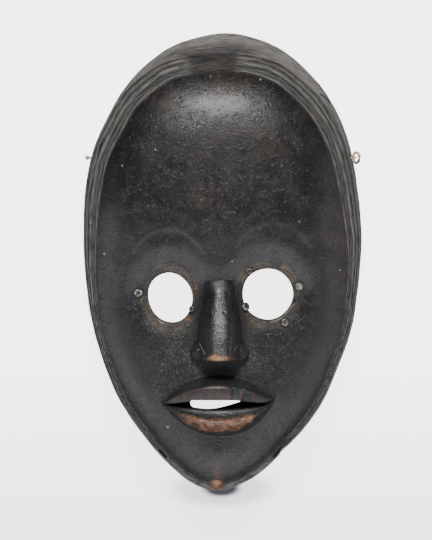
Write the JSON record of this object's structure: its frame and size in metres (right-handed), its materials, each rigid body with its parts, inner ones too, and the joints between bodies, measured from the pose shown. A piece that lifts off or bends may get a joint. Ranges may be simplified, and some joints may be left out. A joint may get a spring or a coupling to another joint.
{
  "type": "carved face mask",
  "caption": "Egg-shaped carved wooden face mask with round eye holes, a parted mouth, incised rim lines, nails and a thin back cord.",
  "frame": {"origin": "under the middle of the mask, on the plane of its flat back rim", "axes": "+Z comes out of the face, +Y goes from the chin to the forehead, +X to the viewer's right"},
  "size_m": [0.149, 0.2449, 0.066],
  "materials": {
    "wood": "dark rubbed patina, satin",
    "iron": "rusted and rubbed",
    "fibre": "dry twisted plant fibre"
  },
  "bodies": {
    "root": {"carved_mask": "wood", "forehead_nail": "iron", "eye_nail_left_outer": "iron", "eye_nail_left_inner": "iron", "eye_nail_right_outer": "iron", "eye_nail_right_inner": "iron", "eye_nail_right_lower": "iron", "eye_nail_right_upper": "iron", "hanging_cord": "fibre", "cord_loop_right": "fibre", "cord_knot_left": "fibre"}
  },
  "joints": []
}
